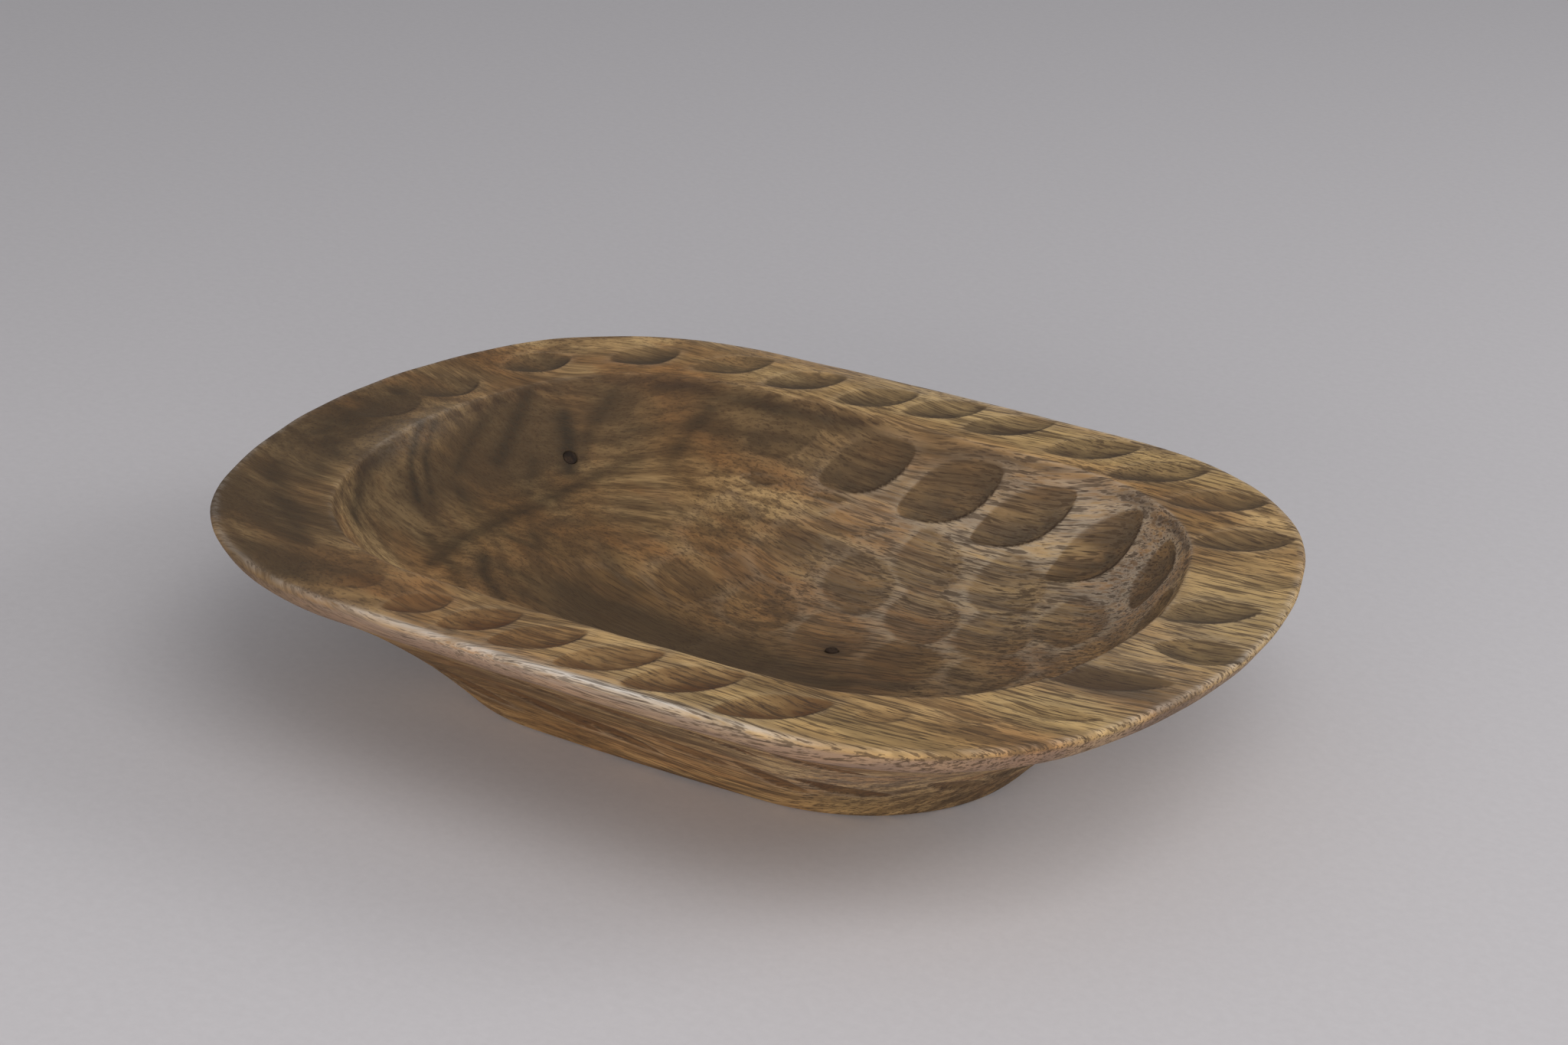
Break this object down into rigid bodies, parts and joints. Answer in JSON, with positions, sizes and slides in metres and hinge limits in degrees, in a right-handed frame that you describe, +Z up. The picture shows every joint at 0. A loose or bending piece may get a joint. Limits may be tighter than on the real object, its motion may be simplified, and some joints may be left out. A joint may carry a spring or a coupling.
{
  "type": "carved wooden bowl",
  "caption": "Shallow rounded-rectangular wooden bowl carved from one block, with a broad flat rim, gouged scoops, a dished basin and a smaller flat base.",
  "frame": {"origin": "middle of the flat base, on the surface that the bowl stands on", "axes": "+X along the bowl's length and its grain, +Y across it, +Z up out of the basin"},
  "size_m": [0.406, 0.33, 0.075],
  "materials": {
    "bowl_wood": "matt antiqued wax, pale on the ridges and dark in the gouge cuts",
    "knot_wood": "dark, hard and slightly glossy"
  },
  "bodies": {
    "root": {"bowl_block": "bowl_wood", "wall_knot": "knot_wood", "floor_knot": "knot_wood"}
  },
  "joints": []
}
